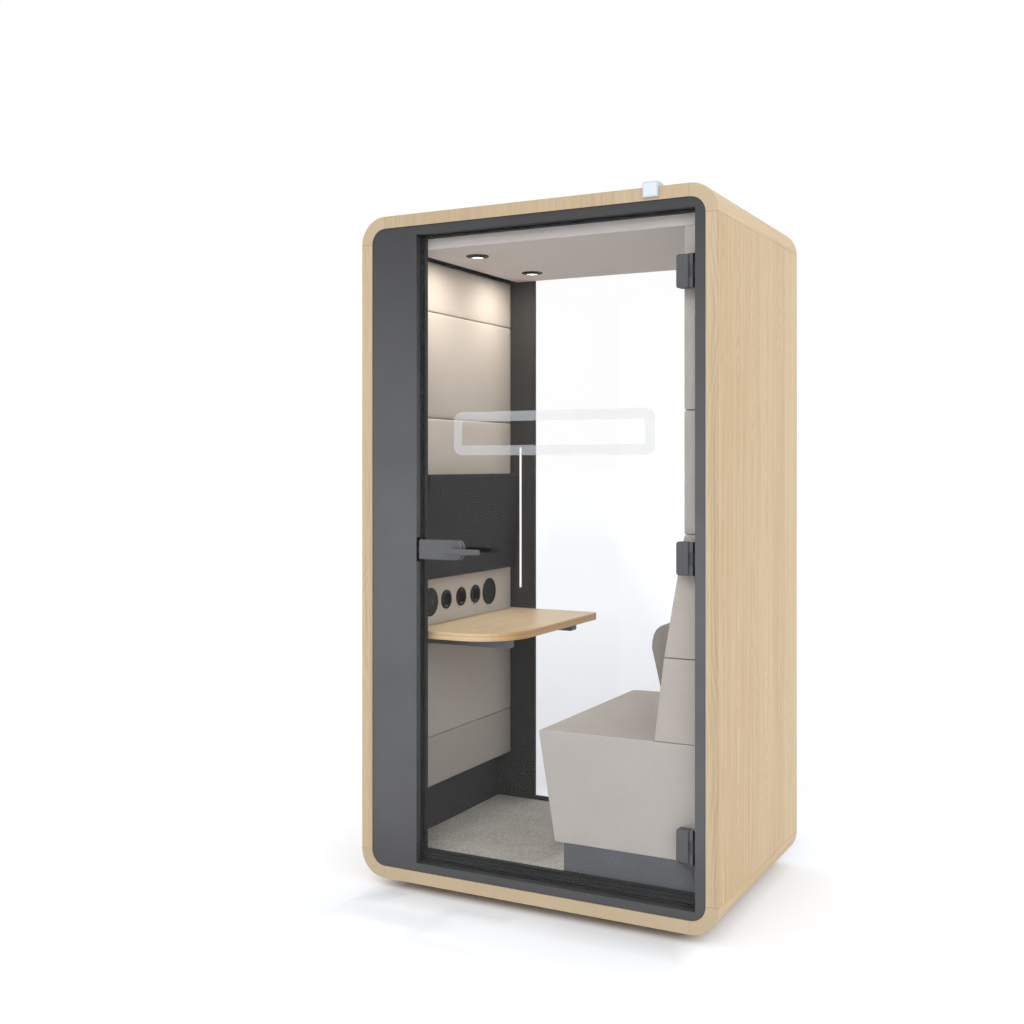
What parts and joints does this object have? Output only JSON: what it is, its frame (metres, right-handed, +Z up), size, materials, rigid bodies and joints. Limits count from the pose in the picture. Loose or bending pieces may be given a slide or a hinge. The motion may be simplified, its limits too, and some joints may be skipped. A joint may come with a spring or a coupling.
{
  "type": "acoustic office pod",
  "caption": "Free-standing one-person acoustic office pod: rounded oak shell, hinged glass door with lever lock, padded interior with desk, tilting screen and raked bench.",
  "frame": {"origin": "on the floor, in the middle of the overall footprint with the outer lever counted", "axes": "+X to the right of someone facing the door, +Y to the back, +Z up"},
  "size_m": [1.25, 0.915, 2.253],
  "materials": {
    "oak": "pale straw oak veneer, satin lacquer",
    "desk_oak": "oak desk board with a laminated edge, satin",
    "frame": "anthracite powder coat, satin",
    "board": "dark matt laminate",
    "felt": "warm grey acoustic fabric with a fine dotted weave",
    "carpet": "grey speckled short-pile carpet",
    "glass": "clear toughened glass",
    "fitting": "dark grey satin metal",
    "black": "black moulded plastic",
    "rubber": "black matt rubber",
    "white": "translucent white plastic, lit from inside"
  },
  "bodies": {
    "pod": {"shell_roof": "oak", "shell_floor": "oak", "shell_left": "oak", "shell_right": "oak", "corner_top_left": "oak", "corner_top_right": "oak", "corner_bottom_left": "oak", "corner_bottom_right": "oak", "front_frame": "frame", "door_stop": "frame", "door_seal": "rubber", "strike_plate": "black", "hinge_bracket_top": "fitting", "hinge_bracket_middle": "fitting", "hinge_bracket_bottom": "fitting", "rear_frame": "frame", "rear_glass": "glass", "led_bar": "white", "left_wall_board": "board", "right_wall_board": "board", "floor_board": "board", "carpet": "carpet", "left_panel_1": "felt", "left_panel_2": "felt", "left_panel_3": "felt", "left_panel_4": "felt", "left_panel_5": "felt", "left_panel_6": "felt", "right_panel_1": "felt", "right_panel_2": "felt", "right_panel_3": "felt", "seat_plinth": "board", "seat_block": "felt", "backrest_lower": "felt", "backrest_upper": "felt", "lumbar_pad": "felt", "ceiling_panel": "felt", "downlight_front": "black", "downlight_rear": "black", "fan_housing": "black", "desk_top": "desk_oak", "desk_arm_front": "frame", "desk_arm_rear": "frame", "screen_bracket": "fitting", "power_socket_1": "black", "power_socket_2": "black", "power_socket_3": "black", "port_cover": "black", "occupancy_light": "white"},
    "door": {"door_glass": "glass", "hinge_clamp_top": "fitting", "hinge_clamp_middle": "fitting", "hinge_clamp_bottom": "fitting", "lock_case": "fitting"},
    "lever": {"lever_outer": "fitting", "lever_inner": "fitting"},
    "latch": {"latch_bolt": "fitting"},
    "screen": {"screen": "black"},
    "dial": {"control_dial": "black"},
    "fan": {"fan_rotor": "black"}
  },
  "joints": [
    {"name": "door_hinge", "type": "hinge", "parent": "pod", "child": "door", "pos_m": [0.538, -0.3985, 1.13], "axis": [0, 0, 1], "range_deg": [0, 110]},
    {"name": "lever_turn", "type": "hinge", "parent": "door", "child": "lever", "pos_m": [-0.269, -0.39, 1.13], "axis": [0, 1, 0], "range_deg": [0, 45], "stiffness_Nm_per_rad": 1.2, "springref_deg": -34.38},
    {"name": "latch_slide", "type": "slide", "parent": "door", "child": "latch", "axis": [1, 0, 0], "range_m": [0, 0.008]},
    {"name": "screen_tilt", "type": "hinge", "parent": "pod", "child": "screen", "pos_m": [-0.484, 0.0355, 1.198], "axis": [0, 1, 0], "range_deg": [-4.7, 5]},
    {"name": "dial_turn", "type": "hinge", "parent": "pod", "child": "dial", "pos_m": [-0.5, -0.1795, 0.929], "axis": [1, 0, 0], "range_deg": [-135, 135]},
    {"name": "fan_spin", "type": "hinge", "parent": "pod", "child": "fan", "pos_m": [-0.35, 0.0345, 2.185], "axis": [0, 0, 1], "continuous": true}
  ],
  "couplings": [
    {"joint": "latch_slide", "follows": "lever_turn", "m_per_rad": 0.0101}
  ]
}
